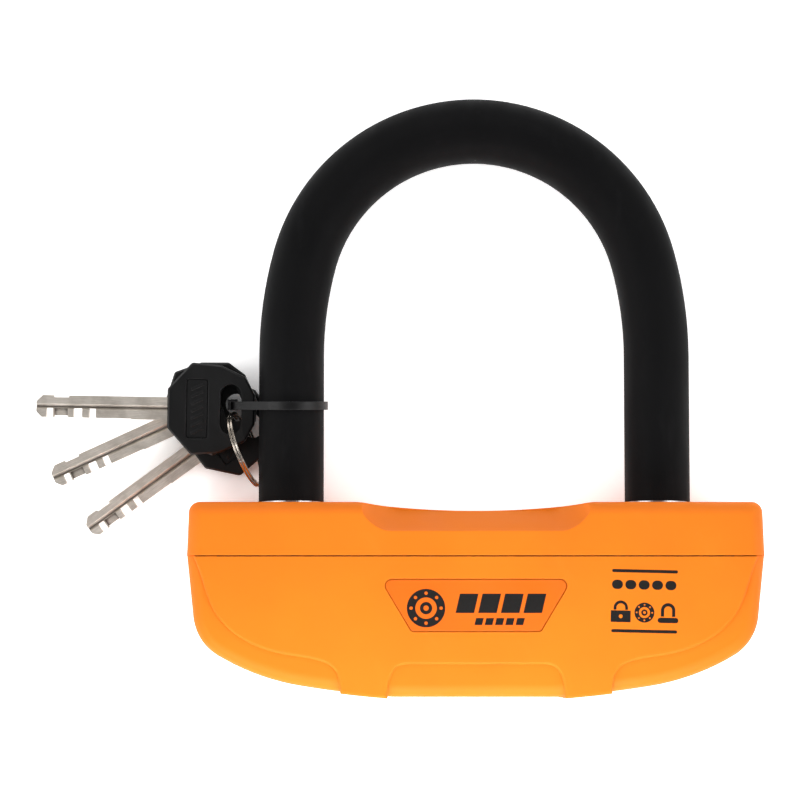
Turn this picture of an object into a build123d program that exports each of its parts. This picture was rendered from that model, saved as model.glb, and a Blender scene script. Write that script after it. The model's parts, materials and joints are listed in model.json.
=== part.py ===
"""Disc brake lock: a sleeved steel U shackle, a plastic covered crossbar with a disc
detainer cylinder and two bolts, and three keys held to one leg by a split ring and a
cable tie.  Millimetres.

The lock is drawn flat first: X runs along the crossbar, Y up the legs towards the bend
with 0 at the crossbar's top face, and Z is its depth with 0 on the leg axes.  It is then
laid on its back, where the thick crossbar and the thin bend make it lean, so that the
floor is Z = 0.  Keys, ring and tie are drawn straight in the lying position.
"""
import math
import os

from build123d import *

# ---- driving sizes ---------------------------------------------------------------
LEG_X = 54.75            # leg axis from the middle of the lock
BAR_R = 9.0              # hardened steel shackle bar
SLEEVE_R = 9.75          # outside of the vinyl sleeve
BEND_TOP = 112.9         # height of the bend's highest axis point above the crossbar
BEND_R = 52.7            # radius of the bend's round crown
CROWN_SWEEP = 75.0       # degrees of crown to either side, the rest bends more gently
SLEEVE_END = 0.8         # the sleeve stops this far above the crossbar
FOOT_Y = -27.0           # end of the shackle's feet inside the crossbar

COVER_HALF = 84.7        # half length of the crossbar
DEPTH_HALF = 20.0        # half depth of the crossbar
SPLIT_Y = -16.0          # joint line between the two covers
BOAT_LOW = -57.08        # flat bottom of the crossbar
BOAT_FLAT = 23.46        # half length of that flat
BOAT_RISE = 6.0          # surplus above the joint line, trimmed away
BOAT_ARCS = ((20.0, 4.5), (319.0, 4.7), (70.0, 21.5), (15.0, 53.3))    # radius and sweep
FOOT_PROUD = 0.6         # the feet stand this far out of the bowl
MARGIN_Z = 18.8          # half depth of the lowered margin of the lower cover
TOP_ROUND = 4.0          # rounding of the long top edges
PLATEAU_ROUND = 0.7      # rounding of the raised field's rim
GROOVE = 0.17            # half of the open joint line
END_LIP_X = 82.0         # beyond this the lower cover fills the joint line

TUBE_Y = -19.0           # axis of the steel tube in the crossbar
TUBE_R = 15.0
TUBE_BORE = 12.2
TUBE_HALF = 76.0
LEG_BOSS_R = 13.4        # ring of plastic round each shackle hole
SCREW_BOSS_R = 4.2
PLUG_LONG = 6.0

HOUSING_R = 11.0         # lock cylinder, standing along Y in the middle
HOUSING_FRONT = -53.2
HOUSING_BACK = -26.0
BARREL_R = 8.45
BARREL_BORE = 6.6
PIN_RING = 4.0           # radius on which the cam's two pins run
PIN_R = 1.5
CAM_TOP = -21.4
BOLT_Y = -16.0           # centre of the bolts
BOLT_HIGH = 8.0
BOLT_HALF_Z = 5.0
BOLT_TIP = 44.6          # tip of a drawn-back bolt
FIT = 0.06               # running clearance on radius
SEAT = 0.03              # clearance of parts that are fixed in each other


def lean_angle():
    """Lean in degrees that puts the crossbar's back edge and the bend on the floor."""
    run = BEND_TOP + TOP_ROUND
    rise = DEPTH_HALF - TOP_ROUND
    radii = SLEEVE_R - TOP_ROUND
    lean = math.atan2(rise, run) - math.asin(radii / math.hypot(run, rise))
    return math.degrees(lean)


LEAN = lean_angle()
AXIS_UP = SLEEVE_R + BEND_TOP * math.sin(math.radians(LEAN))

KEY_LONG = 58.5          # slot centre to blade tip
BOW_THICK = 4.2
KEY_LEVELS = (4.5, 9.0, 13.5)     # middle heights, lowest key first
TIE_X = -72.35           # where the tie goes down through the bows
TIE_Y = 29.6
TIE_WIDE = 2.5
TIE_THICK = 1.0


# ---- small helpers -----------------------------------------------------------------
def block(x0, x1, y0, y1, z0, z1):
    """Box between two corners."""
    centre = ((x0 + x1) / 2, (y0 + y1) / 2, (z0 + z1) / 2)
    return Pos(*centre) * Box(x1 - x0, y1 - y0, z1 - z0)


def post(radius, y0, y1, x=0.0, z=0.0):
    """Cylinder along Y."""
    return Pos(x, (y0 + y1) / 2, z) * Rot(90, 0, 0) * Cylinder(radius, y1 - y0)


def rod(radius, x0, x1, y=0.0, z=0.0):
    """Cylinder along X."""
    return Pos((x0 + x1) / 2, y, z) * Rot(0, 90, 0) * Cylinder(radius, x1 - x0)


def spike(radius, z0, z1, x=0.0, y=0.0):
    """Cylinder along Z."""
    return Pos(x, y, (z0 + z1) / 2) * Cylinder(radius, z1 - z0)


def slab(face, z0, z1):
    """A flat outline in XY, filled from z0 to z1."""
    return Pos(0, 0, z0) * extrude(face, z1 - z0)


def both_sides(shape):
    """The shape and its mirror image across X = 0."""
    return [shape, mirror(shape, Plane.YZ)]


def turned(shape):
    """The shape turned half way round the lock's Y axis."""
    return Rot(0, 180, 0) * shape


# ---- shackle -----------------------------------------------------------------------
def u_shape(radius, leg_end):
    """One round bar: two legs, a gentle bend above each and a round crown."""
    sweep_end = math.radians(CROWN_SWEEP)
    side_r = (LEG_X - BEND_R * math.sin(sweep_end)) / (1 - math.sin(sweep_end))
    crown_start = BEND_TOP - BEND_R * (1 - math.cos(sweep_end))
    bend_start = crown_start - side_r * math.cos(sweep_end)
    leg = Line((LEG_X, leg_end), (LEG_X, bend_start))
    side = JernArc(leg @ 1, (0, 1), side_r, 90 - CROWN_SWEEP)
    crown = JernArc(side @ 1, side % 1, BEND_R, 2 * CROWN_SWEEP)
    far_side = mirror(side, Plane.YZ)
    far_leg = mirror(leg, Plane.YZ)
    shape = None
    for piece in (leg, side, crown, far_side, far_leg):
        section = Plane(origin=piece @ 0, z_dir=piece % 0) * Circle(radius)
        span = sweep(section, piece)
        shape = shape + span if shape else span
    return shape


def shackle_bar():
    bar = u_shape(BAR_R, FOOT_Y)
    ends = bar.faces().filter_by(lambda f: abs(f.center().Y - FOOT_Y) < 0.01)
    bar = chamfer(ends.edges(), 1.5)
    notch = block(LEG_X - BAR_R - 1, LEG_X - 3.75, BOLT_Y - 4.6, BOLT_Y + 4.6, -10, 10)
    for cut in both_sides(notch):
        bar -= cut
    return bar


def shackle_sleeve():
    return u_shape(SLEEVE_R, SLEEVE_END) - u_shape(BAR_R + 0.05, -1.0)


# ---- crossbar covers -----------------------------------------------------------------
def boat(grow=0.0):
    """Bowl shaped outline of the lower cover: a flat middle and tangent arcs to each side.

    It stands BOAT_RISE above the joint line, to be trimmed there.
    """
    right = [Line((0, BOAT_LOW), (BOAT_FLAT, BOAT_LOW))]
    start, way = (BOAT_FLAT, BOAT_LOW), (1, 0)
    for radius, sweep_angle in BOAT_ARCS:
        right.append(JernArc(start, way, radius, sweep_angle))
        start, way = right[-1] @ 1, right[-1] % 1
    top = SPLIT_Y + BOAT_RISE
    side = (top - start.Y) / way.Y
    right.append(Line(start, start + way * side))
    corner = right[-1] @ 1
    left = [mirror(part, Plane.YZ) for part in right]
    lid = Line((-corner.X, top), (corner.X, top))
    face = make_face(Curve() + right + left + [lid])
    return offset(face, grow) if grow else face


def long_edges(shape, depth, open_y):
    """Edges of a slab's front and back faces, without those at the height open_y."""
    edges = shape.edges().filter_by(lambda e: abs(abs(e.center().Z) - depth) < 0.01)
    return edges.filter_by(lambda e: abs(e.center().Y - open_y) > 0.1)


def dip_outline(half, low, run, rise):
    """Flat bottomed dish outline: both ends curve up to steep, open above."""
    ends = [(half, low), (half + 0.42 * run, low + 0.12 * rise),
            (half + 0.78 * run, low + 0.42 * rise), (half + run, low + rise)]
    right = Spline(ends, tangents=[(1, 0), (0.3, 1)])
    left = mirror(right, Plane.YZ)
    floor = Line((-half, low), (half, low))
    lid = Line((half + run, low + rise), (-half - run, low + rise))
    return make_face(Curve() + [right, left, floor, lid])


def hand_scoop():
    """Shallow arch across the top with a bevelled dip in the front and back edges."""
    sag = 2.4
    reach = 35.0
    arch_r = (reach ** 2 + sag ** 2) / (2 * sag)
    arch = Pos(0, arch_r - sag, 0) * Cylinder(arch_r, 3 * DEPTH_HALF)
    wide = dip_outline(25.0, -8.7, 9.6, 10.0)
    narrow = dip_outline(21.5, -2.3, 9.6, 9.0)
    front = Plane(origin=(0, 0, DEPTH_HALF + 0.01)) * wide
    inner = Plane(origin=(0, 0, DEPTH_HALF - 9.0)) * narrow
    dip = loft([front, inner])
    return [arch, dip, mirror(dip, Plane.XY)]


def tube_room():
    """Space that the steel tube takes in the covers."""
    end = TUBE_HALF + 0.3
    return rod(TUBE_R + 0.2, -end, end, TUBE_Y)


def top_cover():
    bottom = SPLIT_Y + GROOVE
    outline = Polyline([(-COVER_HALF, bottom), (-COVER_HALF + 0.6, 0),
                        (COVER_HALF - 0.6, 0), (COVER_HALF, bottom)], close=True)
    face = make_face(outline)
    face = fillet(face.vertices().filter_by(lambda v: v.Y > -1), 3.2)
    cover = slab(face, -DEPTH_HALF, DEPTH_HALF)
    cover = fillet(long_edges(cover, DEPTH_HALF, bottom), TOP_ROUND)
    for cut in hand_scoop():
        cover -= cut
    cover -= tube_room()
    room = block(36.5, COVER_HALF - 3.2, bottom - 1, -3.2, -17.4, 17.4)
    for cut in both_sides(room):
        cover -= cut
    for x in (-LEG_X, LEG_X):
        cover += post(LEG_BOSS_R, -14.0, -3.0, x) & block(-90, 90, -14, -3, -17.5, 17.5)
    for x, y in TOP_SCREWS:
        cover += spike(SCREW_BOSS_R, -17.5, -12.0, x, y)
    cover -= tube_room()
    for x in (-LEG_X, LEG_X):
        cover -= post(HOUSING_R + SEAT, -20, 1, x)
    for x, y in TOP_SCREWS:
        cover -= screw_shape(x, y, SEAT)
    return cover


def plateau_face():
    """Raised field of the lower cover, with two feet that reach the bottom edge."""
    top = SPLIT_Y - GROOVE
    flank = Spline([(82.6, top), (80.3, -22.0), (76.8, -31.5), (70.5, -38.7), (55.3, -44.8),
                    (45.6, -46.6), (41.5, -48.9), (39.9, -53.0), (39.6, -60.0)])
    foot = Line((39.6, -60.0), (26.0, -60.0))
    hollow = Spline([(26.0, -60.0), (25.6, -53.6), (23.9, -49.3), (19.0, -47.5)],
                    tangents=[(-0.05, 1), (-1, 0)])
    right = [flank, foot, hollow]
    left = [mirror(part, Plane.YZ) for part in right]
    edge = Line((-82.6, top), (82.6, top))
    middle = Line((-19.0, -47.5), (19.0, -47.5))
    return make_face(Curve() + right + left + [edge, middle])


def badge_face(gap):
    """Outline of the inlaid plate, shrunk by the gap around it."""
    half_top, half_low, top, low = 28.2, 18.9, -22.7, -38.2
    corners = [(-half_top, top), (half_top, top), (half_low, low), (-half_low, low)]
    face = make_face(Polyline(corners, close=True))
    face = fillet(face.vertices().filter_by(lambda v: v.Y > low + 1), 2.1)
    face = fillet(face.vertices().filter_by(lambda v: v.Y < low + 0.01), 1.5)
    return offset(face, -gap) if gap else face


def lower_cover():
    top = SPLIT_Y - GROOVE
    below = block(-90, 90, -70, top, -30, 30)
    bowl = slab(boat(), -MARGIN_Z, MARGIN_Z)
    bowl = fillet(long_edges(bowl, MARGIN_Z, SPLIT_Y + BOAT_RISE), 3.6)
    raised = slab(plateau_face(), -DEPTH_HALF, DEPTH_HALF) & slab(boat(FOOT_PROUD), -30, 30)
    raised = fillet(long_edges(raised, DEPTH_HALF, top), PLATEAU_ROUND)
    cover = (bowl & below) + raised
    cover -= slab(boat(-2.8), -16, 16) & block(-90, 90, -53.4, 0, -20, 20)
    for x, y in LOW_SCREWS:
        cover += spike(SCREW_BOSS_R, -17.5, -12.5, x, y)
    cover -= tube_room()
    cover -= slab(badge_face(0), DEPTH_HALF - 1.5, DEPTH_HALF + 1)
    cover -= post(7.5, -60, -50)
    cover -= block(SHUTTER_LOW, SHUTTER_HIGH, SHUTTER_Y - 0.1, SHUTTER_Y + 1.7, -6.6, 6.6)
    cover -= block(SHUTTER_LOW, SHUTTER_HIGH, -60.0, SHUTTER_Y, -5.0, 5.0)
    lip = block(END_LIP_X, 90, top - 0.5, SPLIT_Y + GROOVE - SEAT, -MARGIN_Z, MARGIN_Z)
    for rib in both_sides(lip & bowl):
        cover += rib
    for x, y in LOW_SCREWS:
        cover -= screw_shape(x, y, SEAT)
    return cover


def badge_plate():
    return slab(badge_face(0.25), DEPTH_HALF - 1.45, DEPTH_HALF - 0.05)


# ---- cover screws --------------------------------------------------------------------
TOP_SCREWS = ((-38.0, -11.5), (38.0, -11.5))
LOW_SCREWS = ((-64.0, -25.0), (64.0, -25.0))


def screw_shape(x, y, gap=0.0):
    """Countersunk screw from the back, its head just below the surface."""
    face = -DEPTH_HALF + 0.3
    head = Pos(x, y, face + 0.8) * Cone(2.9 + gap, 1.5 + gap, 1.6)
    shank = spike(1.5 + gap, face + 1.5, face + 9.0, x, y)
    shape = head + shank
    if gap:
        shape += spike(2.9 + gap, face - 2, face, x, y)
    else:
        recess = extrude(RegularPolygon(1.15, 6), 1.4)
        shape -= Pos(x, y, face - 0.1) * recess
    return shape


def cover_screws():
    return Compound([screw_shape(x, y) for x, y in TOP_SCREWS + LOW_SCREWS])


# ---- dust shutter --------------------------------------------------------------------
SHUTTER_Y = -56.0        # outer side of the sliding plate
SHUTTER_HALF = 10.5
SHUTTER_TRAVEL = 18.0
SHUTTER_LOW = -SHUTTER_HALF - 0.3
SHUTTER_HIGH = SHUTTER_HALF + SHUTTER_TRAVEL + 0.3


def keyhole_shutter():
    """Sliding plate under the keyhole, held by the lips of its channel."""
    low, high = SHUTTER_Y - 0.8, SHUTTER_Y + 1.5
    plate = block(-SHUTTER_HALF, SHUTTER_HALF, SHUTTER_Y, high, -6.5, 6.5)
    grip = block(-SHUTTER_HALF, SHUTTER_HALF, low, SHUTTER_Y, -4.9, 4.9)
    for i in range(5):
        x = -4.0 + 2.0 * i
        grip -= block(x - 0.5, x + 0.5, low - 1, low + 0.5, -3.6, 3.6)
    return plate + grip


# ---- steel core of the crossbar --------------------------------------------------------
def crossbar_tube():
    tube = rod(TUBE_R, -TUBE_HALF, TUBE_HALF, TUBE_Y) - rod(TUBE_BORE, -90, 90, TUBE_Y)
    for x in (-LEG_X, LEG_X):
        tube -= post(BAR_R + FIT, TUBE_Y, 0, x)
        tube -= post(HOUSING_R + 2 * SEAT, -6.0, 0, x)
    tube -= post(HOUSING_R + SEAT, -36, TUBE_Y)
    for x, y in TOP_SCREWS + LOW_SCREWS:
        tube -= spike(1.5 + SEAT, -TUBE_R - 1, -5, x, y)
    return tube


def end_plug(side):
    """Disc that closes one end of the tube, with a shallow centre dimple."""
    outer = TUBE_HALF - 0.2
    plug = rod(TUBE_BORE - SEAT, outer - PLUG_LONG, outer, TUBE_Y)
    plug -= rod(4.0, outer - 1.5, outer + 1, TUBE_Y)
    return plug if side > 0 else mirror(plug, Plane.YZ)


def ferrule(side):
    """Steel bush that lines a shackle hole in the top cover."""
    bush = post(HOUSING_R, -5.95, -0.15, side * LEG_X)
    return bush - post(BAR_R + FIT, -10, 1, side * LEG_X)


def bolt_guide():
    """Block inside the tube: straight channel for the bolts, pocket for the cam."""
    guide = rod(TUBE_BORE - SEAT, -43.5, 43.5, TUBE_Y)
    low, high = BOLT_Y - BOLT_HIGH / 2 - 0.1, BOLT_Y + BOLT_HIGH / 2 + 0.1
    guide -= block(-50, 50, low, high, -BOLT_HALF_Z - 0.1, BOLT_HALF_Z + 0.1)
    guide -= block(-16, 16, low, high, -7.8, 7.8)
    guide -= post(9.9, HOUSING_BACK - 0.1, low + 1)
    guide -= post(HOUSING_R + SEAT, -35, HOUSING_BACK + 0.05)
    guide -= retaining_pin(SEAT)
    return guide


def retaining_pin(gap=0.0):
    """Cross pin that locks the cylinder housing into the guide."""
    return spike(1.5 + gap, -4.8 - 20 * gap, 4.8 + 20 * gap, HOUSING_R + 0.3, -28.5)


# ---- bolts ----------------------------------------------------------------------------
def bolt():
    """Right hand bolt, drawn back, with a yoke that takes one cam pin."""
    low, high = BOLT_Y - BOLT_HIGH / 2, BOLT_Y + BOLT_HIGH / 2
    bar = block(8.0, BOLT_TIP, low, high, -BOLT_HALF_Z, BOLT_HALF_Z)
    tip = bar.faces().sort_by(Axis.X)[-1]
    bar = chamfer(tip.edges(), 0.8)
    pin_x = -PIN_RING * math.sin(math.radians(45))
    arm = block(pin_x - 4.2, 8.0, low, high, 0.3, 7.6)
    slot = block(pin_x - PIN_R - 0.25, pin_x + PIN_R + 0.25, low - 1, high + 1, 0, 6.0)
    return bar + (arm - slot)


# ---- lock cylinder ----------------------------------------------------------------------
def cylinder_housing():
    housing = post(HOUSING_R, HOUSING_FRONT, HOUSING_BACK)
    housing -= post(BARREL_R + FIT, -60, -20)
    housing -= block(-1.2, 1.2, -50.5, -28.5, BARREL_R - 1, BARREL_R + 1.0)
    housing -= retaining_pin(SEAT)
    return housing


def keyway(high):
    """Flat slot for the blade, across the plug's face."""
    return block(-1.55, 1.55, -60, high, -3.75, 3.75)


def core_barrel():
    barrel = post(BARREL_R, -53.0, -24.7)
    barrel -= post(BARREL_BORE, -51.4, -20)
    barrel -= keyway(-50)
    barrel -= block(-1.05, 1.05, -50.0, -29.0, BARREL_BORE - 1, BARREL_R + 1)
    groove = post(BARREL_R + 1, -25.95, -24.95) - post(7.85, -27, -24)
    return barrel - groove


def guard_disc():
    """Hard disc behind the face that stops a drill."""
    disc = post(BARREL_BORE - 0.1, -51.2, -50.1) - keyway(-50)
    return disc


DISC_FIRST = -49.9
DISC_PITCH = 2.8
DISC_COUNT = 7


def detainer_disc(i):
    """One detainer: round, with the keyway and a rim notch for the sidebar."""
    y = DISC_FIRST + DISC_PITCH * i
    disc = post(BARREL_BORE - 0.1, y, y + 1.5) - keyway(0)
    notch = block(-1.1, 1.1, y - 1, y + 3, 5.4, 8)
    return disc - Rot(0, 12.0 * (i % 3), 0) * notch


def detainer_discs():
    return Compound([detainer_disc(i) for i in range(DISC_COUNT)])


def disc_spacers():
    """Fixed washers between the detainers."""
    rings = []
    for i in range(DISC_COUNT):
        y = DISC_FIRST + DISC_PITCH * i + 1.7
        rings.append(post(BARREL_BORE - 0.1, y, y + 0.9) - post(4.6, y - 1, y + 2))
    return Compound(rings)


def sidebar():
    return block(-0.95, 0.95, -49.8, -29.2, BARREL_BORE + 0.05, BARREL_R - 0.05)


def locking_cam():
    """Plate on the back of the barrel, with one pin for each bolt."""
    cam = post(BARREL_BORE - 0.1, -29.9, -24.5) + post(8.2, -24.6, CAM_TOP)
    angle = math.radians(45)
    x, z = PIN_RING * math.sin(angle), PIN_RING * math.cos(angle)
    cam += post(PIN_R, CAM_TOP - 0.5, BOLT_Y + 3.4, -x, z)
    cam += post(PIN_R, CAM_TOP - 0.5, BOLT_Y + 3.4, x, -z)
    return cam


def retaining_ring():
    """Open spring ring in the barrel's groove."""
    ring = post(9.6, -25.85, -25.05) - post(7.95, -27, -24)
    ring -= block(-2.0, 2.0, -27, -24, 0, 12)
    return ring


# ---- keys, in the lying position ---------------------------------------------------------
def bow_outline():
    """Angular bow, pointed towards the blade; the slot's centre is the origin."""
    upper = [(-19.05, 5.9), (-11.8, 13.9), (-3.2, 13.2), (4.2, 9.8), (7.2, 4.4)]
    lower = [(x, -y) for x, y in reversed(upper)]
    face = make_face(Polyline(upper + lower, close=True))
    return fillet(face.vertices(), 1.3)


def key_bow():
    half = BOW_THICK / 2
    bow = slab(bow_outline(), -half, half)
    rims = bow.edges().filter_by(lambda e: abs(abs(e.center().Z) - half) < 0.01)
    bow = chamfer(rims, 0.5)
    bow -= extrude(SlotOverall(15.0, 6.4, rotation=90), 20, both=True)
    for side in (-1, 1):
        bow -= Pos(-10.1, 0, side * half) * extrude(RectangleRounded(6.2, 17.5, 0.7), 0.45,
                                                   both=True)
        rim = RectangleRounded(6.7, 18.0, 0.9) - RectangleRounded(5.9, 17.2, 0.6)
        bow -= Pos(-10.1, 0, side * half) * extrude(rim, 0.85, both=True)
    core = Box(60, 60, BOW_THICK - 1.2)
    for i in range(-3, 4):
        bar = Pos(-10.1, 2.2 * i, 0) * Rot(0, 0, 25) * Box(3.9, 0.8, BOW_THICK - 0.2)
        bow += bar - core
    thick = BLADE_HALF_THICK + SEAT
    bow -= block(-30, BLADE_ROOT + SEAT, -BLADE_LOW - SEAT, BLADE_HIGH + SEAT, -thick, thick)
    return bow


BLADE_HIGH = 3.3         # from the blade's axis to its plain edge
BLADE_LOW = 3.6          # to its cut edge
BLADE_HALF_THICK = 1.3
BLADE_ROOT = -14.0       # its end inside the bow


def key_blade():
    """Flat blade with a centre groove, cuts on one edge and a step near the tip."""
    tip = -KEY_LONG
    half = BLADE_HALF_THICK
    blade = block(tip, BLADE_ROOT, -BLADE_LOW, BLADE_HIGH, -half, half)
    corners = blade.edges().filter_by(Axis.Z).group_by(Axis.X)[0]
    blade = chamfer(corners, 1.9)
    for side in (-1, 1):
        groove = Pos(0, -0.1, side * half) * Rot(45, 0, 0) * Box(200, 1.1, 1.1)
        blade -= groove
    blade -= block(tip + 5.2, tip + 9.8, BLADE_HIGH - 0.6, 5, -5, 5)
    for start, end in ((3.1, 5.0), (11.2, 13.8), (15.9, 17.9)):
        blade -= block(tip + start, tip + end, -5, -0.6, -5, 5)
    blade -= block(tip + 5.4, tip + 9.5, -5, -0.6, -0.1, 5)
    blade -= block(tip + 5.4, tip + 9.5, -5, -2.8, -5, 5)
    blade -= block(tip - 1, tip + 28.6, -5, -BLADE_LOW + 0.25, -5, 5)
    return blade


# slot centre x, y and the blade's turn from pointing along -X, lowest key first
KEY_SPOTS = ((-69.43, 26.49, 36.0), (-73.79, 31.97, 24.4), (-73.1, 28.5, -1.07))


def on_spot(shape, i):
    """Put a key part on its place in the fan; i = 0 is the lowest key."""
    x, y, turn = KEY_SPOTS[i]
    return Pos(x, y, KEY_LEVELS[i]) * Rot(0, 0, turn) * shape


RING_CENTRE = (-68.51, 16.45, 12.17)
RING_R = 11.56           # middle of the wire
RING_WIRE = (0.85, 0.58)             # across the ring, along its axis
RING_PITCH = 0.86        # from one turn to the next
RING_TURN = -69.4        # direction of the ring's level diameter
RING_TILT = 100.0        # tilt of its plane from level
RING_SEAM = 211.4        # where the wire starts


def key_ring():
    """Split ring: two turns of flat wire."""
    path = Helix(RING_PITCH, 2 * RING_PITCH, RING_R)
    section = Plane(origin=path @ 0, x_dir=(1, 0, 0), z_dir=path % 0)
    coil = sweep(section * Rectangle(*RING_WIRE), path, is_frenet=True)
    coil = Rot(0, 0, RING_SEAM) * Pos(0, 0, -RING_PITCH) * coil
    return Pos(*RING_CENTRE) * Rot(0, 0, RING_TURN) * Rot(RING_TILT, 0, 0) * coil


def tie_loop(grow):
    """Taut belt outline round the leg and through the bows, in an XZ plane."""
    leg_z = AXIS_UP - TIE_Y * math.tan(math.radians(LEAN))
    inner_x = TIE_X + TIE_THICK / 2
    small = 0.4
    floor_in = 0.25 + TIE_THICK
    top_in = KEY_LEVELS[2] + BOW_THICK / 2 + 0.3
    wheels = ((-LEG_X, leg_z, SLEEVE_R + 0.2), (inner_x + small, floor_in + small, small),
              (-61.6, floor_in + small, small), (inner_x + small, top_in - small, small))
    rounds = [Pos(x, z) * Circle(r + grow) for x, z, r in wheels]
    edges = [edge for face in rounds for edge in face.edges()]
    return make_hull(edges)


def cable_tie():
    """Nylon strap with its head standing in the uppermost bow's slot."""
    band = extrude(tie_loop(TIE_THICK), TIE_WIDE) - extrude(tie_loop(0), TIE_WIDE)
    band = Rot(90, 0, 0) * band
    band = Pos(0, TIE_Y + TIE_WIDE / 2, 0) * band
    head = block(TIE_X - 1.7, TIE_X + 1.2, TIE_Y - 1.4, TIE_Y + 1.9, 12.4, 15.6)
    tail = block(TIE_X - 1.6, TIE_X - 0.6, TIE_Y - 1.2, TIE_Y + 1.2, 15.5, 17.4)
    return band + head + tail


# ---- assembly ------------------------------------------------------------------------------
def lying(shape):
    """Lean the flat drawn lock onto the floor."""
    return Pos(0, 0, AXIS_UP) * Rot(-LEAN, 0, 0) * shape


def all_nodes():
    flat = {
        "shackle_bar": shackle_bar(),
        "shackle_sleeve": shackle_sleeve(),
        "top_cover": top_cover(),
        "lower_cover": lower_cover(),
        "badge_plate": badge_plate(),
        "cover_screws": cover_screws(),
        "keyhole_shutter": keyhole_shutter(),
        "crossbar_tube": crossbar_tube(),
        "end_plug_left": end_plug(-1),
        "end_plug_right": end_plug(1),
        "ferrule_left": ferrule(-1),
        "ferrule_right": ferrule(1),
        "bolt_guide": bolt_guide(),
        "retaining_pin": retaining_pin(),
        "bolt_right": bolt(),
        "bolt_left": turned(bolt()),
        "cylinder_housing": cylinder_housing(),
        "core_barrel": core_barrel(),
        "guard_disc": guard_disc(),
        "detainer_discs": detainer_discs(),
        "disc_spacers": disc_spacers(),
        "sidebar": sidebar(),
        "locking_cam": locking_cam(),
        "retaining_ring": retaining_ring(),
    }
    nodes = {name: lying(shape) for name, shape in flat.items()}
    for i, label in enumerate(("bottom", "middle", "top")):
        nodes[f"key_{label}_bow"] = on_spot(key_bow(), i)
        nodes[f"key_{label}_blade"] = on_spot(key_blade(), i)
    nodes["key_ring"] = key_ring()
    nodes["cable_tie"] = cable_tie()
    return nodes


def main():
    os.makedirs("parts", exist_ok=True)
    nodes = all_nodes()
    box = Compound([shape for shape in nodes.values()]).bounding_box()
    shift = Pos(-(box.min.X + box.max.X) / 2, -(box.min.Y + box.max.Y) / 2, -box.min.Z)
    for name, shape in nodes.items():
        export_step(shift * shape, f"parts/{name}.step")
    print("origin shift", shift.position)
    print("box", box.size)


main()
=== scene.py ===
"""Disc brake lock lying on a pale table: materials, printed marks, light and camera.

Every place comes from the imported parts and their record.  Metres.
"""
import json
import math

import bpy
from mathutils import Matrix, Vector


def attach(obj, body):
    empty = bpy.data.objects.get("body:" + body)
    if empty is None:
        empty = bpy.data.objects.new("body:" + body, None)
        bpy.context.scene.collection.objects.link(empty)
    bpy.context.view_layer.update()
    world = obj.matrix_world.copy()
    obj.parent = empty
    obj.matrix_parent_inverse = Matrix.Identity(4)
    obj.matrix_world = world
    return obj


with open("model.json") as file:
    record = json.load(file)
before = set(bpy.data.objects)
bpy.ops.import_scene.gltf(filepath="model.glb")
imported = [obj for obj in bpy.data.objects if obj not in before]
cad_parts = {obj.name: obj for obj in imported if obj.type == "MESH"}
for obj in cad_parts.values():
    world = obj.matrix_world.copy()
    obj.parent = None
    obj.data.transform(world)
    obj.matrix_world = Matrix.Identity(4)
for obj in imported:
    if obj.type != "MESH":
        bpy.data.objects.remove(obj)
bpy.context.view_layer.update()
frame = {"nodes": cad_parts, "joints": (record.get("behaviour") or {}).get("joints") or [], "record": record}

MM = 0.001
NODES = frame["nodes"]
RECORD = frame["record"]


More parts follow.
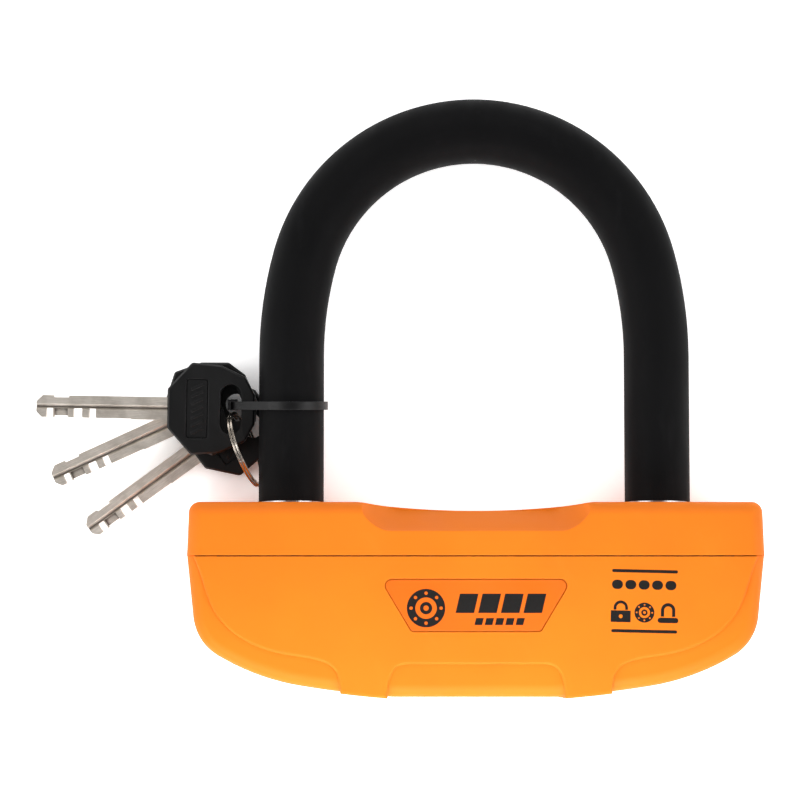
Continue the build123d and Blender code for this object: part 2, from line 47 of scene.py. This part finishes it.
# ---- node building -------------------------------------------------------------------
class Paint:
    """A procedural material under construction: one shader and the patterns that feed it."""

    def __init__(self, name, **constants):
        self.material = bpy.data.materials.new(name)
        self.material.use_nodes = True
        self.tree = self.material.node_tree
        self.shader = self.tree.nodes["Principled BSDF"]
        for label, value in constants.items():
            self.shader.inputs[label.replace("_", " ")].default_value = value
        self.place = self.tree.nodes.new("ShaderNodeTexCoord").outputs["Object"]
        self.normal = None

    def node(self, kind, wires, **settings):
        """A new node; wires maps its inputs to plain values or to other nodes' outputs."""
        made = self.tree.nodes.new("ShaderNode" + kind)
        for label, value in settings.items():
            setattr(made, label, value)
        for label, value in wires.items():
            self.feed(made.inputs[label], value)
        return made

    def feed(self, socket, value):
        """Gives a socket a plain value, or links another node's output to it."""
        if isinstance(value, bpy.types.NodeSocket):
            self.tree.links.new(value, socket)
        else:
            socket.default_value = value

    def spot(self, size, stretch, turn):
        """Object coordinates counted in features of that size along a turned X axis."""
        scale = [size * s for s in stretch]
        wires = {"Vector": self.place, "Rotation": (0, 0, turn), "Scale": scale}
        return self.node("Mapping", wires, vector_type="TEXTURE").outputs["Vector"]

    def noise(self, size, detail=2.0, stretch=(1, 1, 1), turn=0.0):
        """Cloudy pattern from 0 to 1."""
        wires = {"Vector": self.spot(size, stretch, turn), "Scale": 1.0, "Detail": detail}
        return self.node("TexNoise", wires).outputs[0]

    def specks(self, size, share):
        """1 on a few scattered grains of that size, 0 elsewhere."""
        wires = {"Vector": self.spot(size, (1, 1, 1), 0.0), "Scale": 1.0}
        cells = self.node("TexVoronoi", wires).outputs["Color"]
        return self.spread(cells, 1.0 - share, 1.0 - share / 2, 0.0, 1.0)

    def spread(self, value, low, high, first, last):
        """Turns low..high of a pattern into first..last, clamped."""
        wires = {"Value": value, "From Min": low, "From Max": high,
                 "To Min": first, "To Max": last}
        return self.node("MapRange", wires).outputs["Result"]

    def mix(self, share, a, b):
        """Colour a turning into colour b."""
        made = self.node("Mix", {0: share, 6: a, 7: b}, data_type="RGBA")
        return made.outputs[2]

    def soften(self, radius):
        """Rounds hard corners in the shading."""
        made = self.node("Bevel", {"Radius": radius}, samples=6)
        self.normal = made.outputs["Normal"]

    def edges(self, radius):
        """1 on edges and corners, 0 on open surfaces."""
        rounded = self.node("Bevel", {"Radius": radius}, samples=6).outputs["Normal"]
        true = self.node("NewGeometry", {}).outputs["Normal"]
        match = self.node("VectorMath", {0: rounded, 1: true}, operation="DOT_PRODUCT")
        return self.spread(match.outputs["Value"], 0.99, 0.85, 0.0, 1.0)

    def hollows(self, reach):
        """1 down in grooves about that wide, 0 on open surfaces."""
        sky = self.node("AmbientOcclusion", {"Distance": reach}, samples=8, only_local=True)
        return self.spread(sky.outputs["AO"], 0.55, 0.9, 1.0, 0.0)

    def bump(self, height, depth):
        """Adds relief of that depth."""
        wires = {"Height": height, "Distance": depth}
        if self.normal:
            wires["Normal"] = self.normal
        self.normal = self.node("Bump", wires).outputs["Normal"]

    def finish(self, colour, roughness):
        """Wires colour, roughness and the relief so far to the shader."""
        self.feed(self.shader.inputs["Base Color"], colour)
        self.feed(self.shader.inputs["Roughness"], roughness)
        self.feed(self.shader.inputs["Normal"], self.normal)
        return self.material


def shade(red, green, blue):
    """Colour from display values of 0 to 255."""
    channels = [c / 255 for c in (red, green, blue)]
    linear = [((c + 0.055) / 1.055) ** 2.4 if c > 0.04 else c / 12.92 for c in channels]
    return (*linear, 1.0)


# ---- plastics --------------------------------------------------------------------------
def moulded(name, base, worn, grain, rough, **constants):
    """Moulded plastic: fine spark grain, soft flow clouds, rubbed edges and a few scuffs."""
    paint = Paint(name, **constants)
    clouds = paint.noise(28 * MM, detail=3)
    grains = paint.noise(grain, detail=2)
    scuffs = paint.noise(9 * MM, detail=5, stretch=(1, 3, 1), turn=0.5)
    rubbed = paint.edges(0.5 * MM)
    even = paint.mix(paint.spread(clouds, 0.35, 0.65, 0, 1), base[0], base[1])
    colour = paint.mix(paint.spread(rubbed, 0, 1, 0, 0.35), even, worn)
    scuffed = paint.spread(scuffs, 0.62, 0.72, 0, 0.12)
    colour = paint.mix(scuffed, colour, worn)
    paint.soften(0.25 * MM)
    paint.bump(grains, 0.012 * MM)
    paint.bump(clouds, 0.10 * MM)
    roughness = paint.spread(scuffs, 0.3, 0.75, rough[0], rough[1])
    return paint.finish(colour, roughness)


def orange_plastic():
    base = shade(248, 127, 13), shade(245, 123, 11)
    return moulded("orange_plastic", base, shade(251, 141, 38), 0.28 * MM, (0.55, 0.68),
                   Specular_IOR_Level=0.3)


def badge_plastic():
    base = shade(242, 112, 16), shade(238, 107, 13)
    return moulded("badge_plastic", base, shade(246, 122, 38), 0.22 * MM, (0.45, 0.58),
                   Specular_IOR_Level=0.3)


def black_plastic():
    base = shade(30, 30, 31), shade(24, 24, 25)
    return moulded("black_plastic", base, shade(52, 52, 54), 0.25 * MM, (0.42, 0.58))


def bow_plastic():
    base = shade(14, 14, 15), shade(10, 10, 11)
    return moulded("bow_plastic", base, shade(34, 34, 36), 0.2 * MM, (0.34, 0.5),
                   Specular_IOR_Level=0.4)


def vinyl():
    """Satin sleeve with orange peel, slow ripples and dust."""
    paint = Paint("vinyl_sleeve", Specular_IOR_Level=0.06)
    ripples = paint.noise(14 * MM, detail=2)
    peel = paint.noise(0.9 * MM, detail=2)
    dust = paint.specks(0.5 * MM, 0.006)
    rubs = paint.noise(5 * MM, detail=5, stretch=(1, 4, 1))
    colour = paint.mix(ripples, shade(15, 15, 16), shade(20, 20, 21))
    colour = paint.mix(paint.spread(rubs, 0.6, 0.75, 0, 0.25), colour, shade(34, 34, 35))
    colour = paint.mix(paint.spread(dust, 0, 1, 0, 0.5), colour, shade(110, 108, 104))
    paint.bump(ripples, 0.12 * MM)
    paint.bump(peel, 0.01 * MM)
    return paint.finish(colour, paint.spread(rubs, 0.3, 0.7, 0.5, 0.66))


def nylon():
    """Black strap nylon, a little streaked from drawing."""
    paint = Paint("strap_nylon", Specular_IOR_Level=0.3)
    streaks = paint.noise(0.5 * MM, detail=3, stretch=(8, 1, 1))
    grains = paint.noise(0.3 * MM, detail=2)
    worn = paint.edges(0.3 * MM)
    colour = paint.mix(streaks, shade(8, 8, 9), shade(14, 14, 15))
    colour = paint.mix(paint.spread(worn, 0, 1, 0, 0.5), colour, shade(44, 44, 46))
    paint.soften(0.2 * MM)
    paint.bump(grains, 0.01 * MM)
    return paint.finish(colour, paint.spread(streaks, 0.3, 0.7, 0.35, 0.5))


def print_ink():
    """Pad printed ink, slightly uneven where it took less."""
    paint = Paint("print_ink", Specular_IOR_Level=0.3)
    takes = paint.noise(0.7 * MM, detail=4)
    grains = paint.noise(0.2 * MM, detail=2)
    colour = paint.mix(paint.spread(takes, 0.58, 0.75, 0, 0.5), shade(14, 12, 11),
                       shade(52, 32, 20))
    paint.bump(grains, 0.01 * MM)
    return paint.finish(colour, paint.spread(takes, 0.3, 0.7, 0.5, 0.7))


# ---- metals ------------------------------------------------------------------------------
def metal(name, bright, dull, grain, stretch, rough, turn=0.0):
    """Bare or plated metal with drawn streaks, stains, bright edges, and painted shade that darkens its
    grooves.
    """
    paint = Paint(name, Metallic=1.0)
    streaks = paint.noise(grain, detail=4, stretch=stretch, turn=turn)
    stains = paint.noise(6 * MM, detail=4)
    pits = paint.specks(0.6 * MM, 0.02)
    polished = paint.edges(0.3 * MM)
    colour = paint.mix(paint.spread(stains, 0.4, 0.7, 0, 0.8), bright, dull)
    colour = paint.mix(paint.spread(streaks, 0.35, 0.7, 0, 0.5), colour, dull)
    colour = paint.mix(paint.spread(polished, 0, 1, 0, 0.6), colour, bright)
    # painted shade: the colour turns brownish grey down in grooves and crevices found by ambient occlusion,
    # standing in for the shade that falls there
    groove_shade = paint.spread(paint.hollows(1.2 * MM), 0, 1, 0, 0.75)
    colour = paint.mix(groove_shade, colour, shade(72, 62, 56))
    paint.soften(0.12 * MM)
    paint.bump(streaks, 0.012 * MM)
    paint.bump(pits, -0.01 * MM)
    return paint.finish(colour, paint.spread(streaks, 0.3, 0.75, rough[0], rough[1]))


def bar_steel():
    return metal("bar_steel", shade(214, 214, 216), shade(172, 172, 176), 0.25 * MM,
                 (1, 12, 1), (0.22, 0.38))


def zinc_plate():
    return metal("zinc_plate", shade(216, 220, 226), shade(176, 182, 192), 0.8 * MM,
                 (1, 1, 1), (0.28, 0.45))


def case_steel():
    return metal("case_steel", shade(122, 124, 128), shade(82, 83, 86), 0.7 * MM,
                 (2, 1, 1), (0.4, 0.62))


def bright_steel():
    return metal("bright_steel", shade(222, 222, 222), shade(186, 186, 188), 0.15 * MM,
                 (10, 1, 1), (0.18, 0.32))


def cast_zinc():
    return metal("cast_zinc", shade(176, 177, 180), shade(128, 129, 133), 0.5 * MM,
                 (1, 1, 1), (0.45, 0.65))


def brass():
    return metal("turned_brass", shade(226, 186, 104), shade(184, 142, 70), 0.15 * MM,
                 (8, 1, 8), (0.2, 0.36))


def ring_steel():
    return metal("ring_steel", shade(226, 216, 204), shade(196, 180, 162), 3 * MM,
                 (1, 1, 1), (0.2, 0.3))


def nickel(turn):
    """Satin nickel plate drawn along the blade."""
    return metal("satin_nickel", shade(236, 228, 218), shade(186, 177, 166), 0.22 * MM,
                 (14, 1, 1), (0.38, 0.6), turn)


def long_way(obj):
    """Direction in plan of a node's longest straight edge, as an angle."""
    points = [v.co for v in obj.data.vertices]
    spans = [points[e.vertices[1]] - points[e.vertices[0]] for e in obj.data.edges]
    longest = max(spans, key=lambda span: span.xy.length)
    return math.atan2(longest.y, longest.x)


def paint_nodes():
    """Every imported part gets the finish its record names."""
    finishes = {
        "orange": orange_plastic(), "badge": badge_plastic(), "vinyl": vinyl(),
        "nylon": nylon(), "black_plastic": black_plastic(), "bow_plastic": bow_plastic(),
        "bar_steel": bar_steel(), "zinc": zinc_plate(), "case_steel": case_steel(),
        "bright_steel": bright_steel(), "cast_zinc": cast_zinc(), "brass": brass(),
        "ring_steel": ring_steel(),
    }
    for part in RECORD["subparts"]:
        obj = NODES[part["node"]]
        slot = part["material_slot"]
        material = nickel(long_way(obj)) if slot == "nickel" else finishes[slot]
        for place in obj.material_slots:
            place.material = material


# ---- the lock's own directions -------------------------------------------------------------
def lock_frame():
    """Turns the flat drawn lock (X along the crossbar, Y up the legs, Z out of the front)
    into the leaning one; its origin is the record's point on the cylinder axis."""
    turn = next(j for j in frame["joints"] if j["name"] == "key_turn")
    along = Vector((1, 0, 0))
    up_legs = Vector(turn["axis"]).normalized()
    out = along.cross(up_legs)
    axes = Matrix((along, up_legs, out)).transposed().to_4x4()
    return Matrix.Translation(turn["pos_m"]) @ axes


LOCK = lock_frame()


def drawn_box(node):
    """Lowest and highest corner of a part in the lock's own directions."""
    inverse = LOCK.inverted()
    points = [inverse @ v.co for v in NODES[node].data.vertices]
    low = Vector([min(p[i] for p in points) for i in range(3)])
    high = Vector([max(p[i] for p in points) for i in range(3)])
    return low, high


# ---- printed marks ---------------------------------------------------------------------------
INK = 0.04 * MM                      # thickness of the ink
PRINT_SLANT = math.radians(-1.3)     # the rating mark is printed that much askew


def arc(radius, start, end, x=0.0, y=0.0, steps=48):
    """Points on an arc, angles in degrees."""
    count = max(2, round(steps * abs(end - start) / 360))
    angles = [math.radians(start + (end - start) * i / count) for i in range(count + 1)]
    return [(x + radius * math.cos(a), y + radius * math.sin(a)) for a in angles]


def ring(outer, inner, x, y):
    """Disc with a round hole, as two closed loops."""
    return [arc(outer, 0, 360, x, y)[:-1], arc(inner, 0, 360, x, y)[:-1]]


def leaning_bar(x0, x1, y0, y1, lean):
    """Bar whose top is pushed sideways by the lean."""
    return [[(x0, y0), (x1, y0), (x1 + lean, y1), (x0 + lean, y1)]]


def pill(x0, x1, y0, y1):
    """Bar with round ends."""
    radius = (y1 - y0) / 2
    middle = (y0 + y1) / 2
    return [arc(radius, 90, 270, x0 + radius, middle) + arc(radius, -90, 90, x1 - radius,
                                                             middle)]


def askew(loops, angle):
    """The same outlines turned a little about their own middle."""
    points = [point for loop in loops for point in loop]
    x = (min(p[0] for p in points) + max(p[0] for p in points)) / 2
    y = (min(p[1] for p in points) + max(p[1] for p in points)) / 2
    c, s = math.cos(angle), math.sin(angle)
    return [[(x + c * (a - x) - s * (b - y), y + s * (a - x) + c * (b - y)) for a, b in loop]
            for loop in loops]


def printed(name, loops, node):
    """Closed outlines filled as one flat layer of ink on the front of a part."""
    curve = bpy.data.curves.new(name, "CURVE")
    curve.dimensions = "2D"
    curve.fill_mode = "BOTH"
    curve.extrude = INK / 2
    for loop in loops:
        spline = curve.splines.new("POLY")
        spline.points.add(len(loop) - 1)
        for point, (x, y) in zip(spline.points, loop):
            point.co = (x, y, 0, 1)
        spline.use_cyclic_u = True
    drawn = bpy.data.objects.new(name, curve)
    mesh = bpy.data.meshes.new_from_object(drawn)
    bpy.data.objects.remove(drawn)
    mark = bpy.data.objects.new(name, mesh)
    bpy.context.scene.collection.objects.link(mark)
    front = drawn_box(node)[1].z
    mark.matrix_world = LOCK @ Matrix.Translation((0, 0, front + INK * 0.4))
    mesh.materials.append(print_ink())
    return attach(mark, "crossbar")


def rotor(x, y, size):
    """Brake disc: pierced rim, open middle and hub."""
    loops = ring(size, size * 0.56, x, y) + ring(size * 0.32, size * 0.14, x, y)
    for i in range(8):
        angle = math.radians(45 * i)
        reach = size * 0.78
        hole = arc(size * 0.09, 0, 360, x + reach * math.cos(angle),
                   y + reach * math.sin(angle), 16)
        loops.append(hole[:-1])
    return loops


def hoop(x, base, crown, outer, inner):
    """Upside down U whose legs stand on base, round above the height of crown."""
    outside = arc(outer, 180, 0, x, crown)
    right_foot = [(x + outer, base), (x + inner, base)]
    inside = arc(inner, 0, 180, x, crown)
    left_foot = [(x - inner, base), (x - outer, base)]
    return [outside + right_foot + inside + left_foot]


def padlock(x, y, size):
    """Closed padlock: body with a round keyhole under a bow."""
    half, low, mid = size * 0.5, y - size * 0.5, y + size * 0.08
    body = [[(x - half, low), (x + half, low), (x + half, mid), (x - half, mid)]]
    hole = [arc(size * 0.1, 0, 360, x, (low + mid) / 2, 16)[:-1]]
    bow = hoop(x, mid + size * 0.04, mid + size * 0.14, size * 0.36, size * 0.22)
    return body + hole + bow


def u_lock(x, y, size):
    """Tall shackle standing in a crossbar."""
    low = y - size * 0.5
    bar_top = low + size * 0.26
    bar = pill(x - size * 0.52, x + size * 0.52, low, bar_top)
    return bar + hoop(x, bar_top + size * 0.06, y + size * 0.14, size * 0.36, size * 0.2)


def badge_mark():
    """Made-up mark for the inlaid plate: a brake disc, four bold bars, a row of dashes."""
    low, high = drawn_box("badge_plate")
    middle = (low.y + high.y) / 2 - 0.8 * MM
    disc_x, disc_size = -14.6 * MM, 5.6 * MM
    bar_long, bar_low, bar_high, bar_lean = 5.4 * MM, -1.4 * MM, 4.2 * MM, 1.3 * MM
    dash_long, dash_low, dash_high, dash_lean = 2.2 * MM, -4.9 * MM, -2.9 * MM, 0.5 * MM
    loops = rotor(disc_x, middle, disc_size)
    for i in range(4):
        start = (-6.0 + 6.6 * i) * MM
        loops += leaning_bar(start, start + bar_long, middle + bar_low, middle + bar_high,
                             bar_lean)
    for i in range(5):
        start = (-0.5 + 3.0 * i) * MM
        loops += leaning_bar(start, start + dash_long, middle + dash_low,
                             middle + dash_high, dash_lean)
    return printed("badge_mark", loops, "badge_plate")


def rating_mark():
    """Two rules with a row of level blocks and three pictograms between them, printed to
    the right of the badge and a little askew."""
    low, high = drawn_box("badge_plate")
    left = high.x + 13.2 * MM
    right = left + 19.2 * MM
    middle = (low.y + high.y) / 2 + 1.2 * MM
    rule = 0.9 * MM
    loops = []
    for height in (8.3 * MM, -9.2 * MM):
        loops += pill(left, right, middle + height, middle + height + rule)
    block_long, block_pitch = 3.2 * MM, 3.9 * MM
    for i in range(5):
        start = left + block_pitch * i
        loops += pill(start, start + block_long, middle + 3.4 * MM, middle + 6.1 * MM)
    size, pitch = 5.8 * MM, 6.9 * MM
    centre, row = (left + right) / 2, middle - 3.3 * MM
    loops += padlock(centre - pitch, row, size)
    loops += rotor(centre, row, size / 2)
    loops += u_lock(centre + pitch, row, size)
    return printed("rating_mark", askew(loops, PRINT_SLANT), "lower_cover")


# ---- table, light and camera ---------------------------------------------------------------------
def table_top():
    """Pale table that glows a little, except close under the lock."""
    reach = 3.0          # metres to each side
    corners = [(-reach, -reach, 0), (reach, -reach, 0), (reach, reach, 0),
               (-reach, reach, 0)]
    mesh = bpy.data.meshes.new("table_top")
    mesh.from_pydata(corners, [], [(0, 1, 2, 3)])
    top = bpy.data.objects.new("table_top", mesh)
    bpy.context.scene.collection.objects.link(top)
    paint = Paint("pale_table", Emission_Color=(1, 1, 1, 1))
    open_sky = paint.node("AmbientOcclusion", {"Distance": 30 * MM}, samples=8)
    glow = paint.spread(open_sky.outputs["AO"], 0.1, 0.5, 0.0, 0.75)
    paint.feed(paint.shader.inputs["Emission Strength"], glow)
    clouds = paint.noise(60 * MM, detail=3)
    paint.bump(paint.noise(0.6 * MM), 0.01 * MM)
    colour = paint.mix(clouds, shade(249, 249, 249), shade(246, 246, 246))
    mesh.materials.append(paint.finish(colour, 0.8))


def soft_box(name, place, aim, width, height, watts):
    """Rectangular studio light."""
    lamp = bpy.data.lights.new(name, "AREA")
    lamp.shape = "RECTANGLE"
    lamp.size = width
    lamp.size_y = height
    lamp.energy = watts
    holder = bpy.data.objects.new(name, lamp)
    bpy.context.scene.collection.objects.link(holder)
    holder.location = place
    holder.rotation_euler = (Vector(aim) - Vector(place)).to_track_quat("-Z", "Y").to_euler()
    holder.visible_camera = False


def dim_room():
    """World with a pale band along the horizon and a dim ceiling."""
    world = bpy.data.worlds.new("dim_room")
    world.use_nodes = True
    tree = world.node_tree
    place = tree.nodes.new("ShaderNodeTexCoord").outputs["Generated"]
    split = tree.nodes.new("ShaderNodeSeparateXYZ")
    fade = tree.nodes.new("ShaderNodeMapRange")
    limits = {"From Min": 0.1, "From Max": 0.25, "To Min": 0.95, "To Max": 0.15}
    for label, value in limits.items():
        fade.inputs[label].default_value = value
    sky = tree.nodes["Background"]
    sky.inputs["Color"].default_value = (1, 1, 1, 1)
    tree.links.new(place, split.inputs["Vector"])
    tree.links.new(split.outputs["Z"], fade.inputs["Value"])
    tree.links.new(fade.outputs["Result"], sky.inputs["Strength"])
    bpy.context.scene.world = world


def studio():
    """A near soft light low on the crossbar's side, wide fill from both ends and from
    beyond the bend, and nothing bright overhead, so the front faces mirror a dim room."""
    soft_box("key_light", (0.0, -0.17, 0.13), (0, -0.05, 0.03), 0.3, 0.1, 0.46)
    soft_box("left_fill", (-1.0, 0.0, 0.75), (0, 0, 0), 0.5, 1.1, 5.5)
    soft_box("right_fill", (1.0, 0.0, 0.75), (0, 0, 0), 0.5, 1.1, 5.5)
    soft_box("far_fill", (0.0, 1.0, 0.9), (0, 0, 0), 1.2, 0.5, 6.0)
    dim_room()
    bpy.context.scene.view_settings.view_transform = "Standard"


CAMERA_AT = (1.26 * MM, -0.3 * MM, 917 * MM)


def camera():
    """Looks straight down on the middle of the lock from CAMERA_AT."""
    data = bpy.data.cameras.new("portrait")
    data.sensor_width = 36
    data.lens = 135
    data.clip_start = 0.01
    holder = bpy.data.objects.new("portrait", data)
    bpy.context.scene.collection.objects.link(holder)
    holder.location = CAMERA_AT
    bpy.context.scene.camera = holder


paint_nodes()
badge_mark()
rating_mark()
table_top()
studio()
camera()
